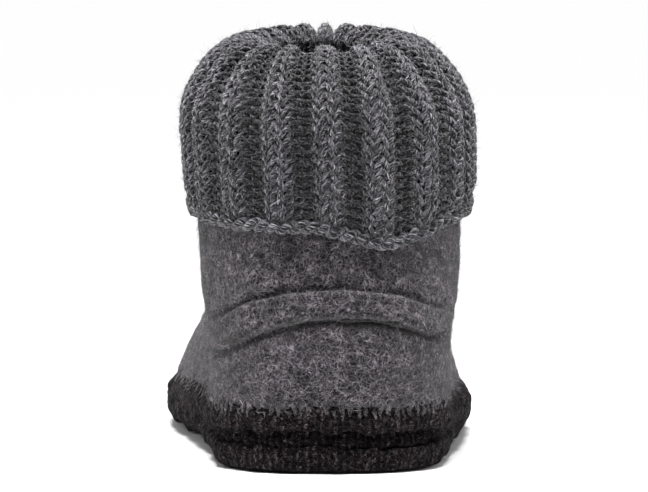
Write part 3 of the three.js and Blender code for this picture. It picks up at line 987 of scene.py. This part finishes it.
def cuff_pieces():
    """The cuff's backing of painted shade, its knit on the fall, over the turn and inside, and its edge.
    """
    surface = CuffSurface()
    courses = int(surface.length / COURSE)
    shade_backing = cuff_shade_backing(surface, courses)
    fall = knit_rows("cuff_fall", surface, range(FALL_ROWS), courses)
    turn = knit_rows("cuff_turn", surface, range(FALL_ROWS, TURN_ROWS), courses)
    inside = knit_rows("cuff_inside", surface, range(TURN_ROWS, courses), courses, INSIDE_STEPS)
    return shade_backing, fall, turn, inside, hem_cord(surface, courses)


def outside(points, normals):
    facing_out = np.einsum("ij,ij->i", from_axis(points), normals) > 0
    return facing_out & (points[:, 2] < HAIRLESS_ABOVE)


def bare_back(points, normals):
    return outside(points, normals) & (points[:, 1] < BACK_UP_TO_Y) & (upper_hollows(points) < 0.3)


def bare_front(points, normals):
    return outside(points, normals) & (points[:, 1] >= BACK_UP_TO_Y)


def sole_side(points, normals):
    return outside(points, normals) & (points[:, 2] > 1.5) & (normals[:, 2] > -0.6)


def everywhere(points, normals):
    return np.ones(len(points))


def nap(name, piece, count, keep, hair, steps=3):
    count = int(count * (1.0))
    return hairs(name, *places_on(piece, count, keep), *hair, steps)


upper, sole, insole = upper_piece(), sole_piece(), insole_piece()
shade_backing, cuff_fall, cuff_turn, cuff_inside, cuff_edge = cuff_pieces()
stitches = seam_stitches(upper, sole)

back_nap = nap("upper_nap_back", upper, 17000, bare_back, BACK_HAIR)
front_nap = nap("upper_nap_front", upper, 14000, bare_front, FRONT_HAIR)
sole_nap = nap("sole_nap", sole, 10000, sole_side, SOLE_HAIR)
seam_nap = nap("seam_nap", stitches, 3000, everywhere, SEAM_HAIR)
upper_strays = nap("upper_strays", upper, 4500, outside, UPPER_STRAY, STRAY_STEPS)
cuff_fuzz = nap("cuff_fuzz", cuff_fall, 13000, everywhere, CUFF_HAIR)
turn_fuzz = nap("turn_fuzz", cuff_turn, 13000, everywhere, CUFF_HAIR)
cuff_strays = nap("cuff_strays", cuff_fall, 1000, everywhere, CUFF_STRAY, STRAY_STEPS)
turn_strays = nap("turn_strays", cuff_turn, 1000, everywhere, CUFF_STRAY, STRAY_STEPS)

grey_felt, grey_hairs, knit = upper_wool(), grey_hair(), cuff_yarn()
dress(upper, "upper", grey_felt)
dress(stitches, "upper", seam_yarn())
for piece in (back_nap, front_nap, seam_nap, upper_strays):
    dress(piece, "upper", grey_hairs)
dress(sole, "sole", sole_wool())
dress(sole_nap, "sole", dark_hair())
dress(insole, "insole", grey_felt)
for piece in (cuff_fall, cuff_turn, cuff_inside, cuff_edge):
    dress(piece, "cuff", knit)
dress(shade_backing, "cuff", shade_backing_wool())
for piece in (cuff_fuzz, turn_fuzz, cuff_strays, turn_strays):
    dress(piece, "cuff", grey_hairs)


# Floor and light, in metres
FLOOR_SIZE = 240.0
FLOOR_PALE = (0.88, 0.88, 0.88, 1)
SKY_STRENGTH = 0.24
SUN_STRENGTH = 3.05
SUN_SPREAD = 26
SUN_WAY = (0.05, 0.32, -1.0)
LAMPS = (  # name, place, size, power
    ("overhead", (0.0, -0.22, 1.0), 0.6, 18),
    ("left_side", (-1.3, 0.25, 0.8), 0.8, 5),
    ("right_side", (1.3, 0.25, 0.8), 0.8, 7),
)
LAMP_AIM = (0, -0.07, 0.07)


def pale_floor():
    bpy.ops.object.select_all(action="DESELECT")
    bpy.ops.mesh.primitive_plane_add(size=FLOOR_SIZE, location=(0, 0, 0))
    floor = bpy.context.object
    floor.name = "floor"
    paint = Shader("pale_floor")
    paint.surface.inputs["Base Color"].default_value = FLOOR_PALE
    paint.surface.inputs["Roughness"].default_value = 0.9
    paint.surface.inputs["Specular IOR Level"].default_value = 0.1
    floor.data.materials.append(paint.material)


def daylight():
    world = bpy.data.worlds.new("studio")
    bpy.context.scene.world = world
    world.use_nodes = True
    sky = world.node_tree.nodes["Background"]
    sky.inputs["Color"].default_value = (1, 1, 1, 1)
    sky.inputs["Strength"].default_value = SKY_STRENGTH
    light = bpy.data.lights.new("skylight", "SUN")
    light.energy = SUN_STRENGTH
    light.angle = math.radians(SUN_SPREAD)
    sun = bpy.data.objects.new("skylight", light)
    bpy.context.scene.collection.objects.link(sun)
    sun.rotation_euler = Vector(SUN_WAY).to_track_quat("-Z", "Y").to_euler()


def lamps():
    for name, place, size, power in LAMPS:
        light = bpy.data.lights.new(name, "AREA")
        light.size = size
        light.energy = power
        lamp = bpy.data.objects.new(name, light)
        bpy.context.scene.collection.objects.link(lamp)
        lamp.location = place
        aim = Vector(LAMP_AIM) - lamp.location
        lamp.rotation_euler = aim.to_track_quat("-Z", "Y").to_euler()


def photo_camera():
    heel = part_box("sole")[0].y / MM
    data = bpy.data.cameras.new("from_behind")
    data.lens = LENS
    data.sensor_width = SENSOR
    data.clip_end = 300
    camera = bpy.data.objects.new("from_behind", data)
    bpy.context.scene.collection.objects.link(camera)
    place = Vector((CAMERA_ASIDE, heel - CAMERA_BEHIND_HEEL, CAMERA_HEIGHT)) * MM
    aim = Vector((CAMERA_ASIDE, heel + AIM_BEFORE_HEEL, AIM_HEIGHT)) * MM
    camera.location = place
    camera.rotation_euler = (aim - place).to_track_quat("-Z", "Y").to_euler()
    bpy.context.scene.camera = camera


pale_floor()
daylight()
lamps()
photo_camera()
bpy.context.scene.view_settings.view_transform = "Standard"
